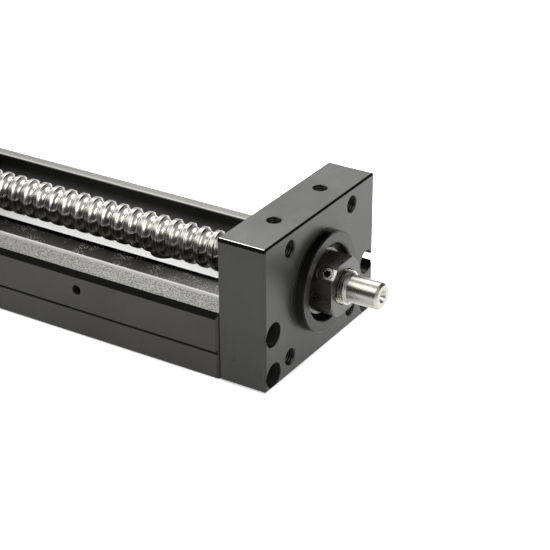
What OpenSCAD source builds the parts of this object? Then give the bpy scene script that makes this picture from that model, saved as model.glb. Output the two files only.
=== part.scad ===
// Single-axis ball screw linear module.
// A U-shaped steel rail carries a recirculating ball carriage that is driven
// by a 12 mm ball screw with a 5 mm lead. The drive end block holds the fixed
// bearing pair and presents a round pilot, four tapped holes and a bare drive
// journal to a motor; the idle end block holds a floating bearing.
// Frame: X along the rail toward the drive end, Z up, origin at the middle of
// the rail's underside.

/* [Rail] */
// Length of the rail
rail_l = 300; // [260:1:600]
// Overall width of rail and end blocks
rail_w = 60; // [60:0.5:62]
// Height of the straight outer side face
side_h = 19.1; // [18.8:0.1:19.6]
// Height of the ground inner lip
lip_h = 22.6; // [22.2:0.1:22.8]
// Distance between the two inner walls
channel_w = 44.6; // [44.2:0.1:44.8]
// Height of the ground floor strips
floor_h = 8.2; // [7.8:0.1:8.4]
// Width of the relieved zone in the middle of the floor
relief_w = 17.4; // [12:0.2:19]
// Spacing of the mounting holes across the rail
mount_row_y = 30; // [29:0.5:31]
// Distance of the mounting hole columns along the rail
mount_pitch = 100; // [80:5:120]
// Diameter of the mounting through holes
mount_d = 5.5; // [5:0.1:6]
// Diameter of the mounting counterbores
mount_cb_d = 9.5; // [9:0.1:10]
// Depth of the mounting counterbores
mount_cb_h = 5.4; // [4:0.1:5.6]
// Diameter of the tapped holes in the rail sides
side_tap_d = 3; // [2.5:0.5:3]

/* [End blocks] */
// Thickness of each end block along the rail
block_t = 15.5; // [15:0.5:18]
// Height of the block tops above the rail's underside
block_top = 45; // [44:0.5:46]
// Gap under the blocks
block_gap = 0.3; // [0.2:0.1:0.5]
// Width of the broken edges
edge_c = 0.5; // [0.3:0.1:0.7]
// Diameter of the pilot ring
pilot_d = 30; // [29:0.5:31]
// Height of the pilot ring
pilot_h = 3; // [2:0.5:4]
// Opening through the pilot ring
pilot_bore = 23; // [22:0.5:23.5]
// Spacing of the four tapped motor holes
motor_sp = 34; // [33:0.5:35]
// Diameter of the tapped motor holes
motor_tap_d = 5; // [4:1:5]
// Spacing of the two tapped holes on top of the block
top_sp = 25; // [22:1:28]
// Diameter of the tapped holes on top of the block
top_tap_d = 4; // [3:1:4]

/* [Screw] */
// Height of the screw axis
axis_h = 23; // [22.8:0.1:23.2]
// Outside diameter of the screw
screw_d = 12; // [11.5:0.1:12]
// Diameter of the bearing journal
journal_d = 10; // [10:0.1:10]
// Diameter of the drive journal
drive_d = 8; // [6:0.5:8]
// Projection of the drive journal from the block face
drive_l = 20; // [16:0.5:26]
// Diameter of the idle journal
idle_d = 8; // [8:0.1:8]

/* [Carriage] */
// Length of the steel carriage body
car_l = 60; // [60:1:70]
// Middle of the carriage along the rail at rest
car_x = -20; // [-60:1:60]
// Height of the carriage top
car_top = 48; // [47:0.5:56]
// Width of the carriage above the rail
car_w = 55; // [52:1:58]
// Spacing of the payload holes along the carriage
load_x = 30; // [26:1:32]
// Spacing of the payload holes across the carriage
load_y = 40; // [36:1:42]
// Diameter of the payload holes
load_d = 6; // [5:1:6]

/* [Hidden] */
$fn = 96;

hl = rail_l / 2;            // rail end
hw = rail_w / 2;            // half width
face = hl + block_t;        // outer face of a block
fit = 0.01;                 // gap between parts that seat in each other
ball_d = 4.762;             // guide balls and angular contact balls
ball_z = 13.6;              // height of the guide raceways
ball_y = channel_w / 2 - 0.4; // loaded row
back_y = ball_y - 7;        // return row
race_r = 2.42;              // raceway radius
end_z = [4.4, 17.3];        // heights of the block fixing screws
end_y = [-25.9, 26.4];      // sides of the drive block fixing screws
idle_y = [-25.9, 25.9];     // sides of the idle block fixing screws
fixing_h = 9;               // depth of the drive block's counterbores
brg_x = face - 1.5;         // front face of the bearing pair
brg_w = 8;                  // width of one bearing
brg_d = 26;                 // outside diameter of the bearings
cover_t = 5;                // thickness of the bearing cover
cover_z = 9.5;              // height of its screws above and below the axis
nut_x0 = face + 0.8;        // back of the lock nut
nut_x1 = face + 8;          // front of the lock nut
nut_af = 16;                // across flats of the lock nut
set_x = nut_x1 - 2.7;       // grub screw position in the lock nut
idle_in = -hl - 5;          // inner face of the idle bearing
idle_w = 7;                 // width of the idle bearing
plate_t = 8;                // thickness of the end plates
seal_t = 2;                 // thickness of the end seals
nut_l = 44;                 // length of the ball nut
nut_r = 12;                 // radius of the ball nut
sball_d = 3.175;            // balls of the ball nut
sball_r = screw_d / 2 + sball_d / 2 + 0.02; // radius of the ball rings
coils = [-13, -1, 11];      // ball rings along the nut

// --- shared shapes ---------------------------------------------------------

// cylinder along X between two stations, centred on the X axis
module xcyl(d, x0, x1)
    translate([x0, 0, 0]) rotate([0, 90, 0]) cylinder(d = d, h = x1 - x0);

// ring along X
module xring(d, b, x0, x1)
    difference() { xcyl(d, x0, x1); xcyl(b, x0 - 1, x1 + 1); }

// cone along X
module xcone(d0, d1, x0, x1)
    translate([x0, 0, 0]) rotate([0, 90, 0])
        cylinder(d1 = d0, d2 = d1, h = x1 - x0);

// torus around the X axis
module xtorus(rr, r, x)
    translate([x, 0, 0]) rotate([0, 90, 0])
        rotate_extrude() translate([rr, 0]) circle(r = r, $fn = 48);

module on_axis() translate([0, 0, axis_h]) children();

// tapped hole with its lead-in chamfer, mouth at the origin, going down -Z
module tapped(d, h, c = 0.25) {
    translate([0, 0, -h]) cylinder(d = d, h = h + 1);
    translate([0, 0, -c]) cylinder(d1 = d, d2 = d + 4 * c, h = 2 * c);
}

// bar with every edge broken
module broken_box(x0, x1, y0, y1, z0, z1, c) {
    intersection() {
        translate([0, 0, z0]) linear_extrude(z1 - z0) broken_rect(x0, x1, y0, y1, c);
        translate([x0, 0, 0]) rotate([90, 0, 90]) linear_extrude(x1 - x0)
            broken_rect(y0, y1, z0, z1, c);
        translate([0, y1, 0]) rotate([90, 0, 0]) linear_extrude(y1 - y0)
            broken_rect(x0, x1, z0, z1, c);
    }
}
module broken_rect(a0, a1, b0, b1, c)
    polygon([[a0 + c, b0], [a1 - c, b0], [a1, b0 + c], [a1, b1 - c],
             [a1 - c, b1], [a0 + c, b1], [a0, b1 - c], [a0, b0 + c]]);

// socket cap screw, head seat at the origin, shank down -Z
module cap_screw(d, l, hd, hh, af) {
    difference() {
        union() {
            cylinder(d = hd, h = hh - 0.3);
            translate([0, 0, hh - 0.3]) cylinder(d1 = hd, d2 = hd - 0.6, h = 0.3);
            translate([0, 0, -l + 0.4]) cylinder(d = d, h = l);
            translate([0, 0, -l]) cylinder(d1 = d - 0.8, d2 = d, h = 0.4);
        }
        translate([0, 0, hh - 0.55 * hh])
            cylinder(d = af / cos(30), h = hh, $fn = 6);
    }
}

// grub screw, top at the origin, body down -Z
module grub(d, l, af) {
    difference() {
        union() {
            translate([0, 0, -l]) cylinder(d = d, h = l - 0.25);
            translate([0, 0, -0.25]) cylinder(d1 = d, d2 = d - 0.5, h = 0.25);
        }
        translate([0, 0, -0.5 * l]) cylinder(d = af / cos(30), h = l, $fn = 6);
    }
}

// --- rail ------------------------------------------------------------------

// right half of the rail's outline across its length, from the middle of the
// underside round to the middle of the floor
rail_pts = [
    [hw - 0.5, 0], [hw, 0.5], [hw, 8.0], [hw - 0.5, 8.4], [hw, 8.8],
    [hw, side_h], [hw - 1, side_h + 1.97],
    [channel_w / 2 + 2.1, lip_h], [channel_w / 2 + 0.25, lip_h],
    [channel_w / 2, lip_h - 0.25],
    [channel_w / 2, floor_h + 1.4], [channel_w / 2 - 0.7, floor_h + 0.7],
    [channel_w / 2 - 0.7, floor_h - 0.5], [channel_w / 2 - 2.2, floor_h - 0.5],
    [channel_w / 2 - 2.2, floor_h],
    [relief_w / 2, floor_h], [relief_w / 2, floor_h - 1]];
module rail_outline()
    polygon(concat(rail_pts,
        [for (i = [len(rail_pts) - 1 : -1 : 0]) [-rail_pts[i][0], rail_pts[i][1]]]));

module base_rail() {
    color([0.27, 0.27, 0.27]) difference() {
        translate([-hl, 0, 0]) rotate([90, 0, 90]) linear_extrude(rail_l)
            rail_outline();
        for (s = [-1, 1]) {
            // raceway for the loaded ball row
            translate([0, s * ball_y, ball_z]) xcyl(2 * race_r, -hl - 1, hl + 1);
            for (e = [-1, 1]) {
                // broken end edges
                translate([e * hl, s * hw, -1]) rotate([0, 0, 45])
                    cube([1.7, 1.7, 60], center = true);
                // tapped holes for the end block screws
                for (z = end_z)
                    translate([e * hl, (e > 0 ? end_y : idle_y)[s < 0 ? 0 : 1], z])
                        rotate([0, e * 90, 0])
                        tapped(4.02, 12, 0.1);
            }
            for (x = [-1, 0, 1]) {
                // counterbored mounting holes
                translate([x * mount_pitch, s * mount_row_y / 2, -1]) cylinder(d = mount_d, h = 20);
                translate([x * mount_pitch, s * mount_row_y / 2, floor_h - mount_cb_h])
                    cylinder(d = mount_cb_d, h = 10);
                // tapped holes in the sides
                translate([x * mount_pitch, s * hw, 15]) rotate([-s * 90, 0, 0])
                    tapped(side_tap_d, 5, 0.1);
            }
        }
    }
}

// --- end blocks ------------------------------------------------------------

module block_body()
    broken_box(hl, face, -hw, hw, block_gap, block_top, edge_c);

// counterbored holes for the screws into the rail, h deep
module block_fixing(ys, h) {
    for (y = ys, z = end_z) translate([face, y, z]) rotate([0, 90, 0]) {
        translate([0, 0, -block_t - 1]) cylinder(d = 4.5, h = block_t + 2);
        translate([0, 0, -h]) cylinder(d = 7.5, h = h + 1);
    }
}

module drive_end_block() {
    color([0.30, 0.30, 0.30]) difference() {
        union() {
            block_body();
            on_axis() {
                xcyl(pilot_d, face - 1, face + pilot_h - 0.3);
                xcone(pilot_d, pilot_d - 0.6, face + pilot_h - 0.3, face + pilot_h);
                xcyl(pilot_d + 0.6, face - 1, face + 0.25);
            }
        }
        on_axis() {
            xcyl(pilot_bore, brg_x - 1, face + pilot_h + 1);
            xcone(pilot_bore, pilot_bore + 1, face + pilot_h - 0.4, face + pilot_h + 0.1);
            xcyl(brg_d + 2 * fit, hl - 1, brg_x);
            // tapped motor holes
            for (y = [-1, 1], z = [-1, 1])
                translate([face, y * motor_sp / 2, z * motor_sp / 2]) rotate([0, 90, 0])
                    tapped(motor_tap_d, 11, 0.25);
            // tapped holes for the bearing cover, from the back
            for (y = [-1, 1], z = [-1, 1])
                translate([hl, y * 16.5, z * cover_z]) rotate([0, -90, 0]) tapped(3.02, 8, 0.1);
        }
        block_fixing(end_y, fixing_h);
        for (y = [-1, 1]) translate([face - 8, y * top_sp / 2, block_top]) tapped(top_tap_d, 8, 0.25);
    }
}

module idle_end_block() {
    color([0.30, 0.30, 0.30]) mirror([1, 0, 0]) difference() {
        block_body();
        on_axis() {
            xcyl(14, hl - 1, face);
            xcyl(22 + 2 * fit, -idle_in, face + 1);
            xcone(22, 23.2, face - 0.4, face + 0.2);
            // seat of the rubber ring
            xcyl(21 + 2 * fit, hl - 1, hl + 1.5);
        }
        block_fixing(idle_y, 5);
        for (y = [-1, 1]) translate([face - 8, y * top_sp / 2, block_top]) tapped(top_tap_d, 8, 0.25);
    }
}

module block_screws(ys, h, l)
    for (y = ys, z = end_z)
        translate([face - h, y, z]) rotate([0, 90, 0]) cap_screw(4, l, 7, 4, 3);

module drive_block_screws() { color([0.16, 0.16, 0.16]) block_screws(end_y, fixing_h, 16); }
module idle_block_screws() { color([0.16, 0.16, 0.16]) mirror([1, 0, 0]) block_screws(idle_y, 5, 20); }

// --- ball screw --------------------------------------------------------------

module ball_screw() {
    color([0.80, 0.80, 0.79]) on_axis() difference() {
        union() {
            // drive journal
            xcyl(drive_d, face + 9, face + drive_l - 1);
            xcone(drive_d, drive_d - 2, face + drive_l - 1, face + drive_l);
            // bearing journal and lock nut thread
            xcyl(journal_d, face - 21.5, face + 9.6);
            xcone(journal_d, drive_d, face + 9.6, face + 10.4);
            // threaded length, drawn at its outside diameter
            xcyl(screw_d, idle_in + 0.6, face - 21);
            xcone(screw_d - 1.2, screw_d, idle_in, idle_in + 0.6);
            // idle journal with its circlip groove
            xcyl(idle_d, idle_in - idle_w - 0.1, idle_in + 1);
            xcyl(idle_d - 0.8, idle_in - idle_w - 1, idle_in);
            xcyl(idle_d, idle_in - idle_w - 1.2, idle_in - idle_w - 1);
            xcone(idle_d - 0.8, idle_d, idle_in - idle_w - 1.5, idle_in - idle_w - 1.2);
        }
        // centre holes
        xcone(0.01, 3.6, face + drive_l - 3, face + drive_l + 0.1);
        xcyl(1.6, face + drive_l - 5, face + drive_l);
        xcone(3, 0.01, idle_in - idle_w - 1.6, idle_in - idle_w + 1);
    }
}

// --- lock nut ----------------------------------------------------------------

set_dirs = [135, 45]; // directions of the grub screws about the axis, from +Y

module lock_nut() {
    color([0.12, 0.12, 0.12]) on_axis() difference() {
        intersection() {
            union() {
                xcyl(18, nut_x0, nut_x1 - 0.4);
                xcone(18, 17.2, nut_x1 - 0.4, nut_x1);
            }
            translate([nut_x0, -nut_af / 2, -nut_af / 2])
                cube([nut_x1 - nut_x0, nut_af, nut_af]);
        }
        xcyl(journal_d + 2 * fit, nut_x0 - 1, nut_x1 + 1);
        xcone(journal_d, journal_d + 1.4, nut_x1 - 0.5, nut_x1 + 0.2);
        for (a = set_dirs) rotate([a, 0, 0]) {
            translate([set_x, 0, 0]) rotate([-90, 0, 0]) cylinder(d = 4.02, h = 20);
            // spot face of the grub screw
            translate([set_x, 8.5, 0]) rotate([-90, 0, 0]) cylinder(d = 5.8, h = 5);
        }
    }
}

module lock_nut_set_screws() {
    color([0.75, 0.75, 0.73]) on_axis() for (a = set_dirs) rotate([a, 0, 0])
        translate([set_x, 8.4, 0]) rotate([-90, 0, 0]) grub(4, 2.3, 2);
}

module lock_nut_pads() {
    color([0.78, 0.62, 0.30]) on_axis() for (a = set_dirs) rotate([a, 0, 0])
        translate([set_x, 5.06, 0]) rotate([-90, 0, 0]) cylinder(d = 3.2, h = 1.02);
}

// --- fixed bearings ------------------------------------------------------------

module front_spacer_collar() {
    color([0.62, 0.62, 0.60]) on_axis() difference() {
        union() {
            xcyl(14, brg_x + 0.02, face);
            xcyl(19.6, face - 0.2, nut_x0 - 0.02);
        }
        xcyl(journal_d + 2 * fit, face - 10, face + 10);
    }
}

module rear_spacer_collar() {
    color([0.62, 0.62, 0.60]) on_axis()
        xring(14, journal_d + 2 * fit, face - 20.98, brg_x - 2 * brg_w - 0.02);
}

module outer_ring(x, w, d, b, rr, r) {
    on_axis() difference() {
        union() {
            xcyl(d, x - w + 0.3, x - 0.3);
            xcone(d - 0.6, d, x - w, x - w + 0.3);
            xcone(d, d - 0.6, x - 0.3, x);
        }
        xcyl(b, x - w - 1, x + 1);
        xtorus(rr, r, x - w / 2);
    }
}

module inner_ring(x, w, d, b, rr, r) {
    on_axis() difference() {
        xcyl(d, x - w, x);
        xcyl(b, x - w - 1, x + 1);
        xtorus(rr, r, x - w / 2);
    }
}

module ball_ring(x, n, rr, d) {
    on_axis() for (i = [0 : n - 1]) rotate([i * 360 / n, 0, 0])
        translate([x, rr, 0]) sphere(d = d, $fn = 32);
}

module cage(x, n, rr, d, w, t) {
    on_axis() difference() {
        xring(2 * rr + t, 2 * rr - t, x - w / 2, x + w / 2);
        for (i = [0 : n - 1]) rotate([i * 360 / n, 0, 0])
            translate([x, rr, 0]) cube([d, 2 * t + 1, d], center = true);
    }
}

module front_bearing_outer_ring() { color([0.66, 0.66, 0.64])
    outer_ring(brg_x - 0.01, brg_w - 0.02, brg_d, 21.5, 9, 2.41); }
module front_bearing_inner_ring() { color([0.66, 0.66, 0.64])
    inner_ring(brg_x - 0.01, brg_w - 0.02, 14.6, journal_d + 2 * fit, 9, 2.41); }
module front_bearing_balls() { color([0.85, 0.85, 0.85])
    ball_ring(brg_x - brg_w / 2, 9, 9, ball_d); }
module front_bearing_cage() { color([0.72, 0.60, 0.36])
    cage(brg_x - brg_w / 2, 9, 9, ball_d + 0.16, 6.2, 1.7); }

module rear_bearing_outer_ring() { color([0.66, 0.66, 0.64])
    outer_ring(brg_x - brg_w - 0.01, brg_w - 0.02, brg_d, 21.5, 9, 2.41); }
module rear_bearing_inner_ring() { color([0.66, 0.66, 0.64])
    inner_ring(brg_x - brg_w - 0.01, brg_w - 0.02, 14.6, journal_d + 2 * fit, 9, 2.41); }
module rear_bearing_balls() { color([0.85, 0.85, 0.85])
    ball_ring(brg_x - 1.5 * brg_w, 9, 9, ball_d); }
module rear_bearing_cage() { color([0.72, 0.60, 0.36])
    cage(brg_x - 1.5 * brg_w, 9, 9, ball_d + 0.16, 6.2, 1.7); }

module bearing_cover() {
    color([0.24, 0.24, 0.24]) difference() {
        broken_box(hl - cover_t, hl - 0.02, -20.5, 20.5, floor_h + 0.8, 2 * axis_h - floor_h - 0.8, 0.5);
        on_axis() {
            xcyl(17, hl - 10, hl + 1);
            xcyl(brg_d + 2 * fit, brg_x - 2 * brg_w - 0.01, hl + 1);
            for (y = [-1, 1], z = [-1, 1]) translate([0, y * 16.5, z * cover_z]) {
                xcyl(3.4, hl - 10, hl + 1);
                xcyl(6, hl - 10, hl - cover_t + 3.2);
            }
            // seat of the rubber ring
            xcyl(22 + 2 * fit, hl - 10, hl - cover_t + 1.2);
        }
    }
}

module bearing_cover_screws() {
    color([0.16, 0.16, 0.16]) on_axis() for (y = [-1, 1], z = [-1, 1])
        translate([hl - cover_t + 3.2, y * 16.5, z * cover_z]) rotate([0, -90, 0])
            cap_screw(3, 9, 5.5, 3, 2.5);
}

// rubber buffer ring around the screw, from its seat at x = 0 toward -X
module bumper(d, b, l, seat) {
    xring(d, b, -l + 0.8, seat);
    difference() {
        xcone(d - 1.6, d, -l, -l + 0.8);
        xcyl(b, -l - 1, 1);
    }
}

module drive_stop_bumper() {
    color([0.06, 0.06, 0.06]) on_axis() translate([hl - cover_t, 0, 0])
        bumper(22, 17.4, 5, 1.18);
}

module idle_stop_bumper() {
    color([0.06, 0.06, 0.06]) on_axis() mirror([1, 0, 0]) translate([hl, 0, 0])
        bumper(21, 15.4, 5, 1.48);
}

// --- idle bearing ----------------------------------------------------------------

module idle_bearing_outer_ring() {
    color([0.66, 0.66, 0.64]) on_axis() difference() {
        union() {
            xcyl(22, idle_in - idle_w + 0.3, idle_in - 0.31);
            xcone(21.4, 22, idle_in - idle_w, idle_in - idle_w + 0.3);
            xcone(22, 21.4, idle_in - 0.31, idle_in - 0.01);
        }
        xcyl(18.4, idle_in - idle_w - 1, idle_in + 1);
        xtorus(7.5, 2.01, idle_in - idle_w / 2);
        // seats of the shields
        xcyl(19.2, idle_in - idle_w - 1, idle_in - idle_w + 0.8);
        xcyl(19.2, idle_in - 0.8, idle_in + 1);
    }
}
module idle_bearing_inner_ring() { color([0.66, 0.66, 0.64])
    inner_ring(idle_in - 0.01, idle_w - 0.02, 12, idle_d + 2 * fit, 7.5, 2.01); }
module idle_bearing_balls() { color([0.85, 0.85, 0.85])
    ball_ring(idle_in - idle_w / 2, 7, 7.5, 3.969); }
module idle_bearing_shields() {
    color([0.55, 0.55, 0.54]) on_axis() {
        xring(19.18, 12.6, idle_in - 0.79, idle_in - 0.4);
        xring(19.18, 12.6, idle_in - idle_w + 0.4, idle_in - idle_w + 0.79);
    }
}

module idle_circlip() {
    color([0.20, 0.20, 0.20]) on_axis() difference() {
        xring(11.6, idle_d - 0.8 + 2 * fit, idle_in - idle_w - 0.92, idle_in - idle_w - 0.14);
        // open mouth of the ring
        translate([idle_in - idle_w - 0.5, 0, 5]) cube([3, 2.4, 10], center = true);
    }
}

module idle_end_cap() {
    color([0.10, 0.10, 0.10]) on_axis() difference() {
        union() {
            xcyl(21.98, -face + 0.02, -face + 1.2);
            xring(21.98, 19.4, -face + 0.02, -face + 2.6);
        }
        xcyl(9, -face - 1, -face + 0.4);
    }
}

// --- carriage ----------------------------------------------------------------------

// outline of the carriage across the rail; g is clearance added all round
module car_outline(g, top) {
    lw = channel_w / 2 - 0.8 - g;
    uw = car_w / 2 - g;
    z0 = floor_h + 1.2 + g;
    z1 = lip_h + 1.4 + g;
    polygon([[-lw + 0.6, z0], [lw - 0.6, z0], [lw, z0 + 0.6], [lw, z1], [uw, z1],
             [uw, top - 1], [uw - 1, top], [-uw + 1, top], [-uw, top - 1],
             [-uw, z1], [-lw, z1], [-lw, z0 + 0.6]]);
}

module car_prism(x0, x1, g, top)
    translate([x0, 0, 0]) rotate([90, 0, 90]) linear_extrude(x1 - x0) car_outline(g, top);

module carriage_block() {
    color([0.34, 0.34, 0.34]) translate([car_x, 0, 0]) difference() {
        car_prism(-car_l / 2, car_l / 2, 0, car_top);
        on_axis() xcyl(2 * nut_r + 2 * fit, -car_l, car_l);
        for (s = [-1, 1]) {
            translate([0, s * ball_y, ball_z]) xcyl(2 * race_r, -car_l, car_l);
            translate([0, s * back_y, ball_z]) xcyl(5, -car_l, car_l);
            // payload holes
            for (x = [-1, 1]) translate([x * load_x / 2, s * load_y / 2, car_top])
                tapped(load_d, 12, 0.25);
            // holes for the nut's grub screws, open to the top
            translate([s * 9, 0, axis_h + nut_r - 0.5]) cylinder(d = 5.02, h = 30);
            for (e = [-1, 1], z = [30, 42])
                translate([e * car_l / 2, s * 20, z]) rotate([0, e * 90, 0]) tapped(3.02, 7, 0.05);
        }
    }
}

module ball_nut() {
    color([0.60, 0.60, 0.58]) translate([car_x, 0, 0]) on_axis() difference() {
        xcyl(2 * nut_r, -nut_l / 2, nut_l / 2);
        xcyl(screw_d + 0.7, -nut_l, nut_l);
        for (e = [-1, 1]) mirror([e < 0 ? 1 : 0, 0, 0]) xcyl(19.02, nut_l / 2 - 4, nut_l);
        for (c = coils) {
            xtorus(sball_r, sball_d / 2 + 0.04, c);
            // window of the deflector
            rotate([c * 7 + 110, 0, 0]) translate([c, 0, 0])
                rotate([90, 0, 0]) cylinder(d = 7.04, h = 20);
        }
        // dimples for the grub screws
        for (s = [-1, 1]) translate([s * 9, 0, nut_r - 0.5]) cylinder(d = 5.02, h = 5);
    }
}

module screw_balls() {
    color([0.85, 0.85, 0.85]) translate([car_x, 0, 0]) on_axis() for (c = coils, i = [0 : 10])
        rotate([c * 7 - 105 + i * 25, 0, 0]) translate([c, 0, sball_r])
            sphere(d = sball_d, $fn = 32);
}

module ball_deflectors() {
    color([0.88, 0.86, 0.80]) translate([car_x, 0, 0]) on_axis() for (c = coils)
        rotate([c * 7 + 110, 0, 0]) intersection() {
            translate([c, 0, 0]) rotate([90, 0, 0]) cylinder(d = 7, h = 20);
            xring(2 * nut_r - 0.1, screw_d + 0.8, c - 4, c + 4);
        }
}

module nut_wipers() {
    color([0.90, 0.89, 0.84]) translate([car_x, 0, 0]) on_axis() {
        xring(19, screw_d + 0.7, nut_l / 2 - 3.98, nut_l / 2 - 0.5);
        xring(19, screw_d + 0.7, -nut_l / 2 + 0.5, -nut_l / 2 + 3.98);
    }
}

module nut_lock_screws() {
    color([0.20, 0.20, 0.20]) translate([car_x, 0, 0]) for (s = [-1, 1])
        translate([s * 9, 0, axis_h + nut_r + 5.5]) grub(5, 5.95, 2.5);
}

module guide_balls() {
    color([0.85, 0.85, 0.85]) translate([car_x, 0, ball_z]) for (s = [-1, 1]) {
        for (i = [-5.5 : 1 : 5.5]) {
            translate([i * 4.9, s * ball_y, 0]) sphere(d = ball_d, $fn = 32);
            translate([i * 4.9, s * back_y, 0]) sphere(d = ball_d, $fn = 32);
        }
        for (e = [-1, 1], a = [-45, 45])
            translate([e * (car_l / 2 + 3.5 * cos(a)), s * (ball_y - 3.5) + 3.5 * sin(a), 0])
                sphere(d = ball_d, $fn = 32);
    }
}

// one ball-return end plate, seat at x = 0, outside toward +X
module end_plate(nipple) {
    difference() {
        car_prism(0.02, plate_t, 0.2, car_top - 0.6);
        on_axis() xcyl(screw_d + 2, -1, plate_t + 1);
        for (s = [-1, 1]) {
            // ball turnaround from the loaded row to the return row
            translate([0, s * (ball_y - 3.5), ball_z])
                rotate_extrude() translate([3.5, 0]) circle(d = 5, $fn = 48);
            // keeps clear of the rail beside the turnaround
            translate([-1, s * ball_y - 3, ball_z - 2.5]) cube([1.02, 6, 5]);
            for (z = [30, 42]) translate([0, s * 20, z]) rotate([0, 90, 0])
                translate([0, 0, -1]) cylinder(d = 3.3, h = 20);
        }
        if (nipple) translate([0, 0, 41]) xcyl(4.02, 2, plate_t + 1);
    }
}

module end_seal(nipple) {
    difference() {
        car_prism(plate_t + 0.02, plate_t + seal_t, -0.3, car_top - 1.2);
        on_axis() xcyl(screw_d + 1.2, 0, 20);
        for (s = [-1, 1], z = [30, 42]) translate([0, s * 20, z]) xcyl(3.3, 0, 20);
        if (nipple) translate([0, 0, 41]) xcyl(8.4, 0, 20);
    }
}

module carriage_end_plates() {
    color([0.10, 0.11, 0.12]) translate([car_x, 0, 0]) {
        translate([car_l / 2, 0, 0]) end_plate(true);
        mirror([1, 0, 0]) translate([car_l / 2, 0, 0]) end_plate(false);
    }
}

module carriage_end_seals() {
    color([0.05, 0.05, 0.05]) translate([car_x, 0, 0]) {
        translate([car_l / 2, 0, 0]) end_seal(true);
        mirror([1, 0, 0]) translate([car_l / 2, 0, 0]) end_seal(false);
    }
}

module carriage_end_screws() {
    color([0.70, 0.70, 0.68]) translate([car_x, 0, 0]) for (e = [-1, 1], s = [-1, 1], z = [30, 42])
        translate([e * (car_l / 2 + plate_t + seal_t + 0.02), s * 20, z]) rotate([0, e * 90, 0])
            cap_screw(3, 16, 5.7, 1.7, 2);
}

module grease_nipple() {
    color([0.74, 0.66, 0.40]) translate([car_x + car_l / 2 + plate_t, 0, 41]) {
        xcyl(4, -5, 0.5);
        translate([0.02, 0, 0]) rotate([0, 90, 0]) cylinder(d = 7 / cos(30), h = 2.6, $fn = 6);
        xcyl(3, 2, 4.6);
        xcone(4.2, 2, 4.6, 6);
    }
}

base_rail();
drive_end_block();
drive_block_screws();
ball_screw();
lock_nut();
lock_nut_set_screws();
lock_nut_pads();
front_spacer_collar();
rear_spacer_collar();
front_bearing_outer_ring();
front_bearing_inner_ring();
front_bearing_balls();
front_bearing_cage();
rear_bearing_outer_ring();
rear_bearing_inner_ring();
rear_bearing_balls();
rear_bearing_cage();
bearing_cover();
bearing_cover_screws();
drive_stop_bumper();
idle_end_block();
idle_block_screws();
idle_bearing_outer_ring();
idle_bearing_inner_ring();
idle_bearing_balls();
idle_bearing_shields();
idle_circlip();
idle_end_cap();
idle_stop_bumper();
carriage_block();
ball_nut();
screw_balls();
ball_deflectors();
nut_wipers();
nut_lock_screws();
guide_balls();
carriage_end_plates();
carriage_end_seals();
carriage_end_screws();
grease_nipple();
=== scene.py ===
import math

import bmesh
import bpy
from mathutils import Matrix, Vector


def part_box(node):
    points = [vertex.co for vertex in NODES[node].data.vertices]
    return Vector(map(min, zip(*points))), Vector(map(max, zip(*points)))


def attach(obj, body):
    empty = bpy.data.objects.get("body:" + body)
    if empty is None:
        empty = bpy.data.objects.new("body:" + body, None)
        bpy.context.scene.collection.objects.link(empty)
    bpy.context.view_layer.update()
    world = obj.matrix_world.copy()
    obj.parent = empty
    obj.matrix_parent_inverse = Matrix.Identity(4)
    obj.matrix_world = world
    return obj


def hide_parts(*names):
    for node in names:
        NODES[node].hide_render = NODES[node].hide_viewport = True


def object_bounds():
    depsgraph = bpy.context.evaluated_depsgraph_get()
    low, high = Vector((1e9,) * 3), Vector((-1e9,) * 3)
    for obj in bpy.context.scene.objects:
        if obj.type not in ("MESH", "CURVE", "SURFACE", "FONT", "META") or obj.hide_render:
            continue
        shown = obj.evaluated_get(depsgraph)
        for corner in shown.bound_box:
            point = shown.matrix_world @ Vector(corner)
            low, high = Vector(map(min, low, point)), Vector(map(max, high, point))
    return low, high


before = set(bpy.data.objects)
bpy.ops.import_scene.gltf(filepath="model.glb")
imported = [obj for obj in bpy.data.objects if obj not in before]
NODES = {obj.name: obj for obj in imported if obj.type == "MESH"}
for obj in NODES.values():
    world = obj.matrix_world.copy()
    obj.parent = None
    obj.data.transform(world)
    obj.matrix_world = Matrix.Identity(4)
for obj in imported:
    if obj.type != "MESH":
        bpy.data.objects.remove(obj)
cad_lo, cad_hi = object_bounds()

# ---------------------------------------------------------------- node helpers


def nd(nt, kind, props=None, **ins):
    """A node with its inputs set: a socket is linked, a value is written. _0, _1 pick an input by number."""
    n = nt.nodes.new(kind)
    for k, v in (props or {}).items():
        setattr(n, k, v)
    for k, v in ins.items():
        s = n.inputs[int(k[1:])] if k[0] == "_" else n.inputs[k.replace("_", " ")]
        if isinstance(v, bpy.types.NodeSocket):
            nt.links.new(v, s)
        else:
            s.default_value = v
    return n


def math_(nt, op, a, b=None, c=None, clamp=False):
    n = nt.nodes.new("ShaderNodeMath")
    n.operation = op
    n.use_clamp = clamp
    for i, v in enumerate((a, b, c)):
        if v is None:
            continue
        if isinstance(v, bpy.types.NodeSocket):
            nt.links.new(v, n.inputs[i])
        else:
            n.inputs[i].default_value = v
    return n.outputs[0]


def ramp(nt, value, lo, hi, out_lo=0.0, out_hi=1.0, smooth=True):
    n = nt.nodes.new("ShaderNodeMapRange")
    n.interpolation_type = "SMOOTHSTEP" if smooth else "LINEAR"
    n.clamp = True
    nt.links.new(value, n.inputs[0])
    n.inputs[1].default_value, n.inputs[2].default_value = lo, hi
    n.inputs[3].default_value, n.inputs[4].default_value = out_lo, out_hi
    return n.outputs[0]


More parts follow.
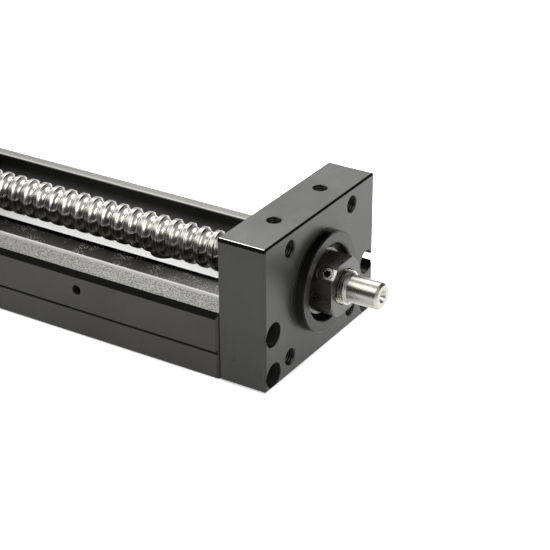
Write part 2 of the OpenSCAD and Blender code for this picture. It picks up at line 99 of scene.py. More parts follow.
def mixc(nt, f, a, b):
    n = nt.nodes.new("ShaderNodeMix")
    n.data_type = "RGBA"
    for s, v in ((n.inputs[0], f), (n.inputs[6], a), (n.inputs[7], b)):
        if isinstance(v, bpy.types.NodeSocket):
            nt.links.new(v, s)
        elif isinstance(v, (tuple, list)):
            s.default_value = (*v, 1.0)
        else:
            s.default_value = v
    return n.outputs[2]


def mixf(nt, f, a, b):
    n = nt.nodes.new("ShaderNodeMix")
    n.data_type = "FLOAT"
    for s, v in ((n.inputs[0], f), (n.inputs[2], a), (n.inputs[3], b)):
        if isinstance(v, bpy.types.NodeSocket):
            nt.links.new(v, s)
        else:
            s.default_value = v
    return n.outputs[0]


def coords(nt):
    return nt.nodes.new("ShaderNodeTexCoord").outputs["Object"]


def scaled(nt, vec, sx, sy, sz):
    n = nt.nodes.new("ShaderNodeVectorMath")
    n.operation = "MULTIPLY"
    nt.links.new(vec, n.inputs[0])
    n.inputs[1].default_value = (sx, sy, sz)
    return n.outputs[0]


def noise(nt, vec, scale, detail=3.0, rough=0.55):
    return nd(nt, "ShaderNodeTexNoise", Vector=vec, Scale=scale, Detail=detail, Roughness=rough).outputs[0]


def edge_mask(nt, radius, lo=0.02, hi=0.25):
    """1 on edges, 0 on flats."""
    bev = nd(nt, "ShaderNodeBevel", {"samples": 6}, Radius=radius)
    geo = nt.nodes.new("ShaderNodeNewGeometry")
    dot = nt.nodes.new("ShaderNodeVectorMath")
    dot.operation = "DOT_PRODUCT"
    nt.links.new(bev.outputs[0], dot.inputs[0])
    nt.links.new(geo.outputs["Normal"], dot.inputs[1])
    return ramp(nt, math_(nt, "SUBTRACT", 1.0, dot.outputs["Value"]), lo, hi)


def new_mat(name, preview=(0.5, 0.5, 0.5), metal=0.0, rough=0.5):
    m = bpy.data.materials.new(name)
    m.use_nodes = True
    m.diffuse_color = (*preview, 1)
    nt = m.node_tree
    nt.nodes.clear()
    out = nt.nodes.new("ShaderNodeOutputMaterial")
    bsdf = nt.nodes.new("ShaderNodeBsdfPrincipled")
    nt.links.new(bsdf.outputs[0], out.inputs[0])
    bsdf.inputs["Base Color"].default_value = (*preview, 1)
    bsdf.inputs["Metallic"].default_value = metal
    bsdf.inputs["Roughness"].default_value = rough
    return m, nt, bsdf


def set_(nt, bsdf, name, v):
    if isinstance(v, bpy.types.NodeSocket):
        nt.links.new(v, bsdf.inputs[name])
    elif isinstance(v, (tuple, list)):
        bsdf.inputs[name].default_value = (*v, 1.0)
    else:
        bsdf.inputs[name].default_value = v


def bump(nt, height, strength=0.2, dist=0.0001, rounded=0.0):
    """Surface relief; rounded softens the corners of the mesh by that radius."""
    if rounded:
        bev = nd(nt, "ShaderNodeBevel", {"samples": 6}, Radius=rounded)
        return nd(nt, "ShaderNodeBump", Height=height, Strength=strength, Distance=dist, Normal=bev.outputs[0]).outputs[0]
    return nd(nt, "ShaderNodeBump", Height=height, Strength=strength, Distance=dist).outputs[0]


def about_screw(nt, P, origin, angle):
    """(height along the set screw's axis, distance from that axis, x) in metres for a set screw of the lock nut."""
    q = nd(nt, "ShaderNodeVectorMath", {"operation": "SUBTRACT"}, _0=P, _1=origin).outputs[0]
    d = (0.0, math.cos(angle), math.sin(angle))
    along = nd(nt, "ShaderNodeVectorMath", {"operation": "DOT_PRODUCT"}, _0=q, _1=d).outputs["Value"]
    length2 = nd(nt, "ShaderNodeVectorMath", {"operation": "DOT_PRODUCT"}, _0=q, _1=q).outputs["Value"]
    away = math_(nt, "SQRT", math_(nt, "MAXIMUM", math_(nt, "SUBTRACT", length2, math_(nt, "MULTIPLY", along, along)), 0.0))
    x = nd(nt, "ShaderNodeSeparateXYZ", _0=q).outputs[0]
    return along, away, x


# ---------------------------------------------------------------- materials


def tapped_threads(nt, P, face_x, axis_z, top_x):
    """Height of the thread ridges inside the tapped holes of an end block, and a mask of where they are."""
    sep = nd(nt, "ShaderNodeSeparateXYZ", _0=P)
    X, Y, Z = (sep.outputs[i] for i in range(3))
    ay = math_(nt, "ABSOLUTE", Y)

    def wave(v, pitch):
        t = math_(nt, "FRACT", math_(nt, "DIVIDE", v, pitch))
        return math_(nt, "MULTIPLY", math_(nt, "ABSOLUTE", math_(nt, "SUBTRACT", t, 0.5)), 2.0)

    def near(a, b, r):
        d2 = math_(nt, "ADD", math_(nt, "MULTIPLY", a, a), math_(nt, "MULTIPLY", b, b))
        return math_(nt, "LESS_THAN", d2, r * r)

    dy = math_(nt, "SUBTRACT", ay, 0.017)
    dz = math_(nt, "SUBTRACT", math_(nt, "ABSOLUTE", math_(nt, "SUBTRACT", Z, axis_z)), 0.017)
    front = math_(nt, "MULTIPLY", near(dy, dz, 0.00262), math_(nt, "LESS_THAN", X, face_x - 0.0003))
    ty = math_(nt, "SUBTRACT", ay, 0.0125)
    tx = math_(nt, "SUBTRACT", math_(nt, "ABSOLUTE", X), top_x)
    top = math_(nt, "MULTIPLY", near(tx, ty, 0.00212), math_(nt, "GREATER_THAN", Z, 0.030))
    mask = math_(nt, "MAXIMUM", front, top)
    height = math_(nt, "ADD", math_(nt, "MULTIPLY", wave(X, 0.0008), front), math_(nt, "MULTIPLY", wave(Z, 0.0007), top))
    return height, mask


def coated_black(name, base=0.022, rough=0.30, ior=1.48, wear=0.3, marks=(1, 1, 1), grain=0.05, wear_colour=(0.34, 0.33, 0.32), threads=None, rounded=0.00016, block=None):
    """Black treated steel: nearly black, satin, a little uneven, rubbed bright along its edges; with block given it
    also carries painted shade and a painted highlight line along the top edges.
    """
    m, nt, b = new_mat(name, (base * 2, base * 2, base * 2), 0.0, rough)
    P = coords(nt)
    cloud = noise(nt, P, 38.0, 4.0, 0.6)
    fine = noise(nt, P, 900.0, 3.0, 0.65)
    lines = noise(nt, scaled(nt, P, *[2600.0 / k for k in marks]), 1.0, 2.0, 0.5)
    smudge = noise(nt, scaled(nt, P, 120, 55, 90), 1.0, 5.0, 0.65)
    col = mixc(nt, ramp(nt, cloud, 0.35, 0.68), (base * 0.82, base * 0.82, base * 0.79), (base * 1.25, base * 1.24, base * 1.18))
    col = mixc(nt, math_(nt, "MULTIPLY", ramp(nt, smudge, 0.50, 0.72), 0.12), col, (base * 2.2, base * 2.2, base * 2.1))
    speck = ramp(nt, fine, 0.66, 0.74)
    col = mixc(nt, math_(nt, "MULTIPLY", speck, 0.10), col, (base * 3.0, base * 3.0, base * 2.9))
    worn = math_(nt, "MULTIPLY", edge_mask(nt, 0.00022, 0.05, 0.3), ramp(nt, noise(nt, P, 260.0, 4.0, 0.7), 0.36, 0.70))
    worn = math_(nt, "MULTIPLY", worn, wear)
    painted_chamfer_shade = step = None
    if block:
        half_w, top, face_x, axis_z = block
        sp = nd(nt, "ShaderNodeSeparateXYZ", _0=P)
        ay = math_(nt, "ABSOLUTE", sp.outputs[1])
        # painted highlight: a near-white metal line where the top meets the side chamfers, standing in for the light
        # the rounded edge catches
        painted_edge_highlight = math_(nt, "MULTIPLY", ramp(nt, ay, half_w - 0.00064, half_w - 0.00058), ramp(nt, sp.outputs[2], top - 0.00010, top - 0.00004))
        painted_edge_highlight = math_(nt, "MULTIPLY", painted_edge_highlight, ramp(nt, noise(nt, P, 140.0, 3.0, 0.6), 0.25, 0.5, 0.55, 1.0))
        # the foot of the pilot ring stays plain
        zr = math_(nt, "SUBTRACT", sp.outputs[2], axis_z)
        rad = math_(nt, "SQRT", math_(nt, "ADD", math_(nt, "MULTIPLY", zr, zr), math_(nt, "MULTIPLY", ay, ay)))
        step = math_(nt, "MULTIPLY", math_(nt, "GREATER_THAN", rad, 0.0149), math_(nt, "LESS_THAN", rad, 0.0158))
        step = math_(nt, "MULTIPLY", step, math_(nt, "GREATER_THAN", sp.outputs[0], face_x - 0.0006))
        worn = math_(nt, "MULTIPLY", worn, math_(nt, "SUBTRACT", 1.0, step))
        # side chamfers of the top, carried a little way down the side faces: painted shade (darker colour, low
        # roughness, tilted normal) standing in for the dark band they reflect
        geo = nt.nodes.new("ShaderNodeNewGeometry")
        gn = nd(nt, "ShaderNodeSeparateXYZ", _0=geo.outputs["True Normal"])
        painted_chamfer_shade = math_(nt, "MULTIPLY", math_(nt, "GREATER_THAN", math_(nt, "ABSOLUTE", gn.outputs[1]), 0.6), ramp(nt, sp.outputs[2], top - 0.00120, top - 0.00100))
        painted_chamfer_shade = math_(nt, "MULTIPLY", painted_chamfer_shade, math_(nt, "GREATER_THAN", ay, half_w - 0.0007))
        # painted shade: the top face is darkened from its middle toward +y, a little less near the +y edge, made uneven
        # by the smudge noise
        lid = math_(nt, "MULTIPLY", math_(nt, "GREATER_THAN", gn.outputs[2], 0.9), math_(nt, "GREATER_THAN", sp.outputs[2], top - 0.0004))
        drift = math_(nt, "ADD", sp.outputs[1], math_(nt, "MULTIPLY", math_(nt, "SUBTRACT", smudge, 0.5), 0.030))
        painted_top_shade = math_(nt, "MULTIPLY", lid, math_(nt, "SUBTRACT", ramp(nt, drift, -0.018, -0.002, 0.0, 0.25), ramp(nt, drift, 0.006, 0.020, 0.0, 0.08)))
        # painted shade on the chamfer between the top and the front
        brow = math_(nt, "MULTIPLY", math_(nt, "GREATER_THAN", gn.outputs[2], 0.3), math_(nt, "GREATER_THAN", math_(nt, "ABSOLUTE", gn.outputs[0]), 0.3))
        brow = math_(nt, "MULTIPLY", brow, math_(nt, "GREATER_THAN", sp.outputs[2], top - 0.0007))
        # the side of the pilot ring is made darker through shade below, and on its +y side given a flat normal
        ring_side_dark = math_(nt, "MULTIPLY", math_(nt, "LESS_THAN", math_(nt, "ABSOLUTE", gn.outputs[0]), 0.85), math_(nt, "MULTIPLY", math_(nt, "GREATER_THAN", rad, 0.0145), math_(nt, "LESS_THAN", rad, 0.0160)))
        ring_side_dark = math_(nt, "MULTIPLY", ring_side_dark, math_(nt, "GREATER_THAN", sp.outputs[0], face_x - 0.0001))
        # the front of the protruding pilot ring is darkened a little through shade
        proud = math_(nt, "MULTIPLY", math_(nt, "GREATER_THAN", sp.outputs[0], face_x + 0.0010), math_(nt, "LESS_THAN", rad, 0.0165))
        # shade gathers the painted shade of the masks above
        shade = math_(nt, "MAXIMUM", math_(nt, "MAXIMUM", ring_side_dark, brow), math_(nt, "MAXIMUM", math_(nt, "MULTIPLY", proud, 0.38), painted_top_shade))
        # painted shade: the inside of the tapped holes and counterbores is darkened nearly black
        pits = []
        for hy, hz, hr in ((0.017, 0.017, 0.0026), (0.017, -0.017, 0.0026), (0.0264, 0.0044 - axis_z, 0.0038), (0.0264, 0.0173 - axis_z, 0.0038)):
            dy = math_(nt, "SUBTRACT", ay, hy)
            dz = math_(nt, "SUBTRACT", zr, hz)
            off = math_(nt, "SQRT", math_(nt, "ADD", math_(nt, "MULTIPLY", dy, dy), math_(nt, "MULTIPLY", dz, dz)))
            pits.append(math_(nt, "LESS_THAN", off, hr))
        pit = math_(nt, "MAXIMUM", math_(nt, "MAXIMUM", pits[0], pits[1]), math_(nt, "MAXIMUM", pits[2], pits[3]))
        pit = math_(nt, "MULTIPLY", pit, math_(nt, "LESS_THAN", sp.outputs[0], face_x - 0.0003))
        pit = math_(nt, "MULTIPLY", pit, math_(nt, "LESS_THAN", ay, half_w - 0.0001))
        ex = math_(nt, "SUBTRACT", sp.outputs[0], face_x - 0.0080)
        ey = math_(nt, "SUBTRACT", ay, 0.0125)
        well = math_(nt, "LESS_THAN", math_(nt, "SQRT", math_(nt, "ADD", math_(nt, "MULTIPLY", ex, ex), math_(nt, "MULTIPLY", ey, ey))), 0.0021)
        well = math_(nt, "MULTIPLY", well, math_(nt, "LESS_THAN", sp.outputs[2], top - 0.0003))
        shade = math_(nt, "MAXIMUM", shade, math_(nt, "MULTIPLY", math_(nt, "MAXIMUM", pit, well), 0.60))
        # the side faces stay plain away from their edges
        plain = math_(nt, "MULTIPLY", math_(nt, "GREATER_THAN", ay, half_w - 0.00005), math_(nt, "LESS_THAN", sp.outputs[0], face_x - 0.0006))
        plain = math_(nt, "MULTIPLY", plain, math_(nt, "MULTIPLY", math_(nt, "GREATER_THAN", sp.outputs[0], face_x - 0.0149), math_(nt, "GREATER_THAN", sp.outputs[2], 0.0006)))
        plain = math_(nt, "MULTIPLY", plain, math_(nt, "LESS_THAN", sp.outputs[2], top - 0.0008))
        worn = math_(nt, "MULTIPLY", worn, math_(nt, "SUBTRACT", 1.0, plain))
        flat = math_(nt, "MULTIPLY", ring_side_dark, math_(nt, "GREATER_THAN", sp.outputs[1], 0.0))
        col = mixc(nt, painted_chamfer_shade, col, (base * 0.3, base * 0.3, base * 0.3))
        # the painted edge highlight joins the wear mask and the wear colour here
        worn = math_(nt, "MAXIMUM", math_(nt, "MULTIPLY", worn, math_(nt, "SUBTRACT", 1.0, painted_chamfer_shade)), painted_edge_highlight)
        wear_colour = mixc(nt, painted_edge_highlight, wear_colour, (0.80, 0.79, 0.76))
    col = mixc(nt, worn, col, wear_colour)
    set_(nt, b, "Base Color", col)
    metal = math_(nt, "MULTIPLY", worn, 0.9)
    if block:
        # painted shade: the shade mask darkens the colour and makes the surface a dark metal
        metal = math_(nt, "MAXIMUM", metal, math_(nt, "MULTIPLY", shade, 0.92))
        dark = mixc(nt, shade, (1.0, 1.0, 1.0), (0.30, 0.30, 0.29))
        col = nd(nt, "ShaderNodeVectorMath", {"operation": "MULTIPLY"}, _0=col, _1=dark).outputs[0]
        set_(nt, b, "Base Color", col)
    set_(nt, b, "Metallic", metal)
    r = math_(nt, "ADD", ramp(nt, cloud, 0.3, 0.7, rough - 0.045, rough + 0.05), math_(nt, "MULTIPLY", fine, 0.05))
    r = math_(nt, "ADD", r, math_(nt, "MULTIPLY", math_(nt, "SUBTRACT", lines, 0.5), 0.08))
    r = math_(nt, "ADD", r, ramp(nt, smudge, 0.35, 0.70, -0.02, 0.03))
    if block:
        r = mixf(nt, painted_chamfer_shade, r, 0.10)
    set_(nt, b, "Roughness", r)
    b.inputs["IOR"].default_value = ior
    b.inputs["Specular Tint"].default_value = (1.0, 1.0, 0.95, 1.0)
    h = math_(nt, "ADD", math_(nt, "MULTIPLY", fine, 0.5), math_(nt, "MULTIPLY", lines, 0.5))
    normal = bump(nt, h, grain, 0.00002, rounded)

    def blend(f, a, c):
        mx = nt.nodes.new("ShaderNodeMix")
        mx.data_type = "VECTOR"
        nt.links.new(f, mx.inputs[0])
        nt.links.new(a, mx.inputs[4])
        nt.links.new(c, mx.inputs[5])
        return mx.outputs[1]

    if block:
        normal = blend(math_(nt, "MAXIMUM", step, flat), normal, nd(nt, "ShaderNodeCombineXYZ", _0=1.0, _1=0.0, _2=0.0).outputs[0])
        normal = blend(plain, normal, nd(nt, "ShaderNodeCombineXYZ", _0=0.0, _1=math_(nt, "SIGN", sp.outputs[1]), _2=0.0).outputs[0])
        side = nd(nt, "ShaderNodeCombineXYZ", _0=0.0, _1=math_(nt, "MULTIPLY", math_(nt, "SIGN", sp.outputs[1]), 0.883), _2=0.469).outputs[0]
        normal = blend(math_(nt, "MULTIPLY", painted_chamfer_shade, math_(nt, "SUBTRACT", 1.0, painted_edge_highlight)), normal, side)
    if threads:
        ridge, mask = tapped_threads(nt, P, *threads)
        cut = nd(nt, "ShaderNodeBump", Height=ridge, Strength=1.0, Distance=0.0003).outputs[0]
        normal = blend(mask, normal, cut)
    set_(nt, b, "Normal", normal)
    return m


def ground_steel(name, base=(0.62, 0.62, 0.60), rough=0.2, marks=(1, 1, 1), scratch=0.10, tarnish=0.25, edge=0.3, streak=0.0):
    """Bright ground steel. marks stretches the grinding lines: the longest axis is the direction they run in."""
    m, nt, b = new_mat(name, base, 1.0, rough)
    P = coords(nt)
    cloud = noise(nt, P, 55.0, 4.0, 0.6)
    lines = noise(nt, scaled(nt, P, *[5200.0 / k for k in marks]), 1.0, 3.0, 0.6)
    fine = noise(nt, P, 1500.0, 2.0, 0.6)
    dark = tuple(c * (1 - tarnish) for c in base)
    col = mixc(nt, ramp(nt, cloud, 0.34, 0.7), base, dark)
    col = mixc(nt, math_(nt, "MULTIPLY", ramp(nt, lines, 0.35, 0.75), 0.22), col, tuple(min(1, c * 1.25) for c in base))
    if edge:
        col = mixc(nt, math_(nt, "MULTIPLY", edge_mask(nt, 0.00012, 0.05, 0.3), edge), col, (0.86, 0.86, 0.84))
    if streak:
        s_ = ramp(nt, noise(nt, scaled(nt, P, 1500, 50, 50), 1.0, 3.0, 0.7), 0.36, 0.64, 1.0 - streak, 1.0 + streak)
        col = nd(nt, "ShaderNodeVectorMath", {"operation": "SCALE"}, _0=col, Scale=s_).outputs[0]
    set_(nt, b, "Base Color", col)
    r = math_(nt, "ADD", ramp(nt, cloud, 0.3, 0.7, rough - 0.03, rough + 0.04), math_(nt, "MULTIPLY", math_(nt, "SUBTRACT", lines, 0.5), scratch))
    set_(nt, b, "Roughness", r)
    h = math_(nt, "ADD", math_(nt, "MULTIPLY", lines, 0.8), math_(nt, "MULTIPLY", fine, 0.2))
    set_(nt, b, "Normal", bump(nt, h, scratch, 0.00001))
    return m


def set_steel(name, origin):
    """Bright set screws, with painted shade down in their sockets."""
    m, nt, b = new_mat(name, (0.70, 0.69, 0.66), 1.0, 0.2)
    P = coords(nt)
    n = noise(nt, P, 1400.0, 3.0, 0.6)
    col = mixc(nt, n, (0.62, 0.61, 0.58), (0.80, 0.79, 0.75))
    painted_socket_shade = None
    for a in (math.radians(135), math.radians(45)):
        along, away, x = about_screw(nt, P, origin, a)
        h = math_(nt, "MULTIPLY", math_(nt, "LESS_THAN", away, 0.00119), math_(nt, "MULTIPLY", math_(nt, "LESS_THAN", along, 0.00834), math_(nt, "GREATER_THAN", along, 0.0)))
        painted_socket_shade = h if painted_socket_shade is None else math_(nt, "MAXIMUM", painted_socket_shade, h)
    # painted shade: the socket is coloured near black and made less metallic
    set_(nt, b, "Base Color", mixc(nt, painted_socket_shade, col, (0.02, 0.018, 0.016)))
    set_(nt, b, "Metallic", math_(nt, "SUBTRACT", 1.0, math_(nt, "MULTIPLY", painted_socket_shade, 0.6)))
    set_(nt, b, "Roughness", ramp(nt, n, 0.3, 0.7, 0.16, 0.28))
    set_(nt, b, "Normal", bump(nt, n, 0.05, 0.00001, 0.0001))
    return m


def black_oxide(name, base=0.018, rough=0.33, tint=(1.08, 1.0, 0.95), metal=0.3, spot=None, vary=1.9):
    """Oiled black oxide, as on screws and nuts. spot bares the cut metal around one set screw of the lock nut, the one
    at 135 degrees.
    """
    m, nt, b = new_mat(name, (base, base, base), 0.35, rough)
    P = coords(nt)
    cloud = noise(nt, P, 240.0, 4.0, 0.6)
    fine = noise(nt, P, 2600.0, 3.0, 0.6)
    t = tuple(base * k for k in tint)
    col = mixc(nt, ramp(nt, cloud, 0.35, 0.7), t, tuple(c * vary for c in t))
    worn = math_(nt, "MULTIPLY", edge_mask(nt, 0.00015, 0.05, 0.3), ramp(nt, fine, 0.35, 0.65, 0.15, 0.75))
    if spot:
        worn = math_(nt, "MULTIPLY", worn, 0.3)
    col = mixc(nt, worn, col, (0.30, 0.29, 0.28))
    if spot:
        bare = None
        for a in (math.radians(135),):
            along, away, x = about_screw(nt, P, spot, a)
            side = math_(nt, "SQRT", math_(nt, "MAXIMUM", math_(nt, "SUBTRACT", math_(nt, "MULTIPLY", away, away), math_(nt, "MULTIPLY", x, x)), 0.0))
            k = math_(nt, "MULTIPLY", ramp(nt, away, 0.00300, 0.00312, 1.0, 0.0), math_(nt, "MULTIPLY", math_(nt, "GREATER_THAN", along, 0.0083), ramp(nt, x, 0.0009, 0.0014)))
            k = math_(nt, "MULTIPLY", k, ramp(nt, side, 0.00150, 0.00175, 1.0, 0.0))
            bare = k if bare is None else math_(nt, "MAXIMUM", bare, k)
        col = mixc(nt, bare, col, (0.78, 0.77, 0.73))
        worn = math_(nt, "MAXIMUM", worn, math_(nt, "MULTIPLY", bare, 1.6))
    b.inputs["IOR"].default_value = 1.6
    set_(nt, b, "Base Color", col)
    set_(nt, b, "Metallic", math_(nt, "ADD", math_(nt, "MULTIPLY", worn, 0.6), metal, clamp=True))
    set_(nt, b, "Roughness", math_(nt, "ADD", ramp(nt, cloud, 0.3, 0.7, rough - 0.05, rough + 0.06), math_(nt, "MULTIPLY", fine, 0.05)))
    normal = bump(nt, fine, 0.08, 0.00002, 0.00012)
    if spot:
        # the turned front edge carries on the front face
        sp = nd(nt, "ShaderNodeSeparateXYZ", _0=P)
        zr = math_(nt, "SUBTRACT", sp.outputs[2], spot[2])
        rad = math_(nt, "SQRT", math_(nt, "ADD", math_(nt, "MULTIPLY", zr, zr), math_(nt, "MULTIPLY", sp.outputs[1], sp.outputs[1])))
        edge = math_(nt, "MULTIPLY", math_(nt, "GREATER_THAN", rad, 0.00850), math_(nt, "MULTIPLY", math_(nt, "GREATER_THAN", sp.outputs[0], spot[0] + 0.00225), math_(nt, "GREATER_THAN", sp.outputs[1], 0.0)))
        mx = nt.nodes.new("ShaderNodeMix")
        mx.data_type = "VECTOR"
        nt.links.new(edge, mx.inputs[0])
        nt.links.new(normal, mx.inputs[4])
        mx.inputs[5].default_value = (1.0, 0.0, 0.0)
        normal = mx.outputs[1]
    set_(nt, b, "Normal", normal)
    return m


def polished_ball(name):
    m, nt, b = new_mat(name, (0.80, 0.80, 0.80), 1.0, 0.07)
    P = coords(nt)
    n = noise(nt, P, 900.0, 3.0, 0.6)
    set_(nt, b, "Base Color", mixc(nt, n, (0.74, 0.74, 0.75), (0.84, 0.84, 0.84)))
    set_(nt, b, "Roughness", ramp(nt, n, 0.3, 0.7, 0.05, 0.11))
    return m


def brass(name):
    m, nt, b = new_mat(name, (0.72, 0.53, 0.24), 1.0, 0.28)
    P = coords(nt)
    n = noise(nt, P, 400.0, 4.0, 0.6)
    lines = noise(nt, scaled(nt, P, 3000, 300, 300), 1.0, 3.0, 0.6)
    col = mixc(nt, n, (0.66, 0.47, 0.20), (0.80, 0.62, 0.32))
    set_(nt, b, "Base Color", mixc(nt, edge_mask(nt, 0.00015), col, (0.88, 0.74, 0.44)))
    set_(nt, b, "Roughness", ramp(nt, lines, 0.3, 0.7, 0.22, 0.36))
    set_(nt, b, "Normal", bump(nt, lines, 0.08, 0.00002))
    return m


def plastic(name, base, rough=0.45, grain=0.12):
    m, nt, b = new_mat(name, base, 0.0, rough)
    P = coords(nt)
    n = noise(nt, P, 1800.0, 3.0, 0.6)
    cloud = noise(nt, P, 60.0, 3.0, 0.6)
    col = mixc(nt, cloud, tuple(c * 0.88 for c in base), tuple(min(1, c * 1.12) for c in base))
    set_(nt, b, "Base Color", mixc(nt, math_(nt, "MULTIPLY", edge_mask(nt, 0.0002), 0.4), col, tuple(min(1, c * 1.8 + 0.02) for c in base)))
    set_(nt, b, "Roughness", ramp(nt, n, 0.3, 0.7, rough - 0.05, rough + 0.07))
    set_(nt, b, "Normal", bump(nt, n, grain, 0.00003))
    return m


def rubber(name):
    m, nt, b = new_mat(name, (0.02, 0.02, 0.02), 0.0, 0.7)
    P = coords(nt)
    n = noise(nt, P, 1200.0, 4.0, 0.65)
    dust = ramp(nt, noise(nt, P, 120.0, 4.0, 0.7), 0.45, 0.8)
    col = mixc(nt, math_(nt, "MULTIPLY", dust, 0.25), (0.016, 0.016, 0.017), (0.09, 0.09, 0.085))
    set_(nt, b, "Base Color", col)
    set_(nt, b, "Roughness", ramp(nt, n, 0.3, 0.7, 0.62, 0.8))
    set_(nt, b, "Normal", bump(nt, n, 0.25, 0.00005))
    return m


def rail_material(name):
    """The rail: satin black outside, a coarser milled band on its shoulders, bare lips, and a bright ground floor
    beside the speckled relief; painted shade in the side groove, on the bevel and on the near floor strip, a painted
    highlight along the lip's inner edge and a painted reflection low on the inner walls.
    """
    m, nt, b = new_mat(name, (0.04, 0.04, 0.04), 0.0, 0.32)
    P = coords(nt)
    sep = nt.nodes.new("ShaderNodeSeparateXYZ")
    nt.links.new(P, sep.inputs[0])
    Y = math_(nt, "ABSOLUTE", sep.outputs[1])
    Z = sep.outputs[2]
    geo = nt.nodes.new("ShaderNodeNewGeometry")
    nz = nt.nodes.new("ShaderNodeSeparateXYZ")
    nt.links.new(geo.outputs["True Normal"], nz.inputs[0])
    NZ = nz.outputs[2]

    def both(*ms):
        v = ms[0]
        for k in ms[1:]:
            v = math_(nt, "MULTIPLY", v, k)
        return v

    up = math_(nt, "GREATER_THAN", NZ, 0.985)
    tilt = both(math_(nt, "GREATER_THAN", NZ, 0.80), math_(nt, "LESS_THAN", NZ, 0.985))
    high = math_(nt, "GREATER_THAN", Z, 0.0195)
    low = math_(nt, "LESS_THAN", Z, 0.0095)
    lip = both(up, high)
    band = both(tilt, high)
    floor_ = both(up, low, math_(nt, "GREATER_THAN", Z, 0.0078))
    relief = both(up, math_(nt, "LESS_THAN", Z, 0.0078), math_(nt, "GREATER_THAN", Z, 0.0060))

    wall = both(math_(nt, "LESS_THAN", math_(nt, "ABSOLUTE", NZ), 0.5), math_(nt, "LESS_THAN", Y, 0.0224), math_(nt, "GREATER_THAN", Z, 0.0085))
    X = sep.outputs[0]

    cloud = noise(nt, P, 34.0, 4.0, 0.6)
    fine = noise(nt, P, 1100.0, 4.0, 0.7)
    along = noise(nt, scaled(nt, P, 60, 4200, 4200), 1.0, 3.0, 0.6)
    # satin black
    col = mixc(nt, ramp(nt, cloud, 0.35, 0.68), (0.0215, 0.0210, 0.0195), (0.030, 0.0295, 0.0270))
    rough = math_(nt, "ADD", ramp(nt, cloud, 0.3, 0.7, 0.28, 0.36), math_(nt, "MULTIPLY", fine, 0.05))
    worn = math_(nt, "MULTIPLY", edge_mask(nt, 0.00018, 0.05, 0.3), ramp(nt, noise(nt, P, 210.0, 4.0, 0.7), 0.38, 0.7, 0.0, 0.55))
    col = mixc(nt, worn, col, (0.34, 0.33, 0.31))
    # painted shade: the faces inside the shallow groove along the side are coloured near black and made matt
    side_groove_shade = both(math_(nt, "GREATER_THAN", Y, 0.0294), math_(nt, "LESS_THAN", Y, 0.02998), math_(nt, "GREATER_THAN", Z, 0.0078), math_(nt, "LESS_THAN", Z, 0.0090))
    col = mixc(nt, side_groove_shade, col, (0.003, 0.003, 0.003))
    rough = mixf(nt, side_groove_shade, rough, 0.75)
    # the inner walls: painted reflection of the bright floor, a lighter grey toward their foot, mostly on the far wall
    painted_wall_reflection = ramp(nt, Z, 0.0150, 0.0200, 1.0, 0.0)
    painted_wall_reflection = math_(nt, "MULTIPLY", painted_wall_reflection, ramp(nt, sep.outputs[1], -0.001, 0.001, 0.12, 1.0))
    col = mixc(nt, wall, col, mixc(nt, painted_wall_reflection, (0.020, 0.020, 0.019), (0.17, 0.17, 0.16)))
    rough = mixf(nt, wall, rough, 0.42)
    bevel = both(math_(nt, "GREATER_THAN", NZ, 0.3), math_(nt, "LESS_THAN", NZ, 0.7), math_(nt, "GREATER_THAN", Z, 0.0188), math_(nt, "GREATER_THAN", Y, 0.0280))
    # painted shade: the bevel's black is made darker still, beside its low roughness
    col = mixc(nt, math_(nt, "MULTIPLY", bevel, math_(nt, "SUBTRACT", 1.0, worn)), col, (0.008, 0.008, 0.0075))
    rough = mixf(nt, bevel, rough, 0.15)
    # the shoulder band: milled, matt, finely speckled
    mottle = noise(nt, scaled(nt, P, 2100, 3600, 3600), 1.0, 3.0, 0.75)
    band_col = mixc(nt, ramp(nt, mottle, 0.36, 0.64), (0.055, 0.055, 0.052), (0.36, 0.36, 0.34))
    band_col = mixc(nt, ramp(nt, X, -0.02, 0.13, 0.70, 0.0), band_col, (0.09, 0.09, 0.085))
    col = mixc(nt, band, col, band_col)
    rough = mixf(nt, band, rough, ramp(nt, mottle, 0.3, 0.7, 0.40, 0.55))
    # the bare lip, with a painted highlight along its inner edge
    rim = ramp(nt, Y, 0.02300, 0.02360, 1.0, 0.0)
    lip_col = mixc(nt, ramp(nt, along, 0.3, 0.7), (0.120, 0.120, 0.115), (0.20, 0.20, 0.19))
    lip_col = mixc(nt, rim, lip_col, (0.27, 0.27, 0.26))
    col = mixc(nt, lip, col, lip_col)
    rough = mixf(nt, lip, rough, ramp(nt, along, 0.3, 0.7, 0.30, 0.42))
    # the ground floor
    floor_col = mixc(nt, ramp(nt, along, 0.3, 0.7), (0.90, 0.90, 0.885), (0.98, 0.98, 0.97))
    pit = ramp(nt, noise(nt, P, 420.0, 2.0, 0.5), 0.73, 0.76)
    floor_col = mixc(nt, pit, floor_col, (0.20, 0.20, 0.19))
    # painted shade: the floor strip on the near side is made near black, standing in for shade under the near wall
    painted_near_strip_shade = ramp(nt, math_(nt, "ADD", sep.outputs[1], math_(nt, "MULTIPLY", math_(nt, "SUBTRACT", cloud, 0.5), 0.004)), -0.0125, -0.0095, 0.96, 0.85)
    painted_near_strip_shade = math_(nt, "MULTIPLY", painted_near_strip_shade, math_(nt, "LESS_THAN", sep.outputs[1], 0.0))
    floor_col = mixc(nt, painted_near_strip_shade, floor_col, (0.035, 0.035, 0.03))
    col = mixc(nt, floor_, col, floor_col)
    rough = mixf(nt, floor_, rough, 0.40)
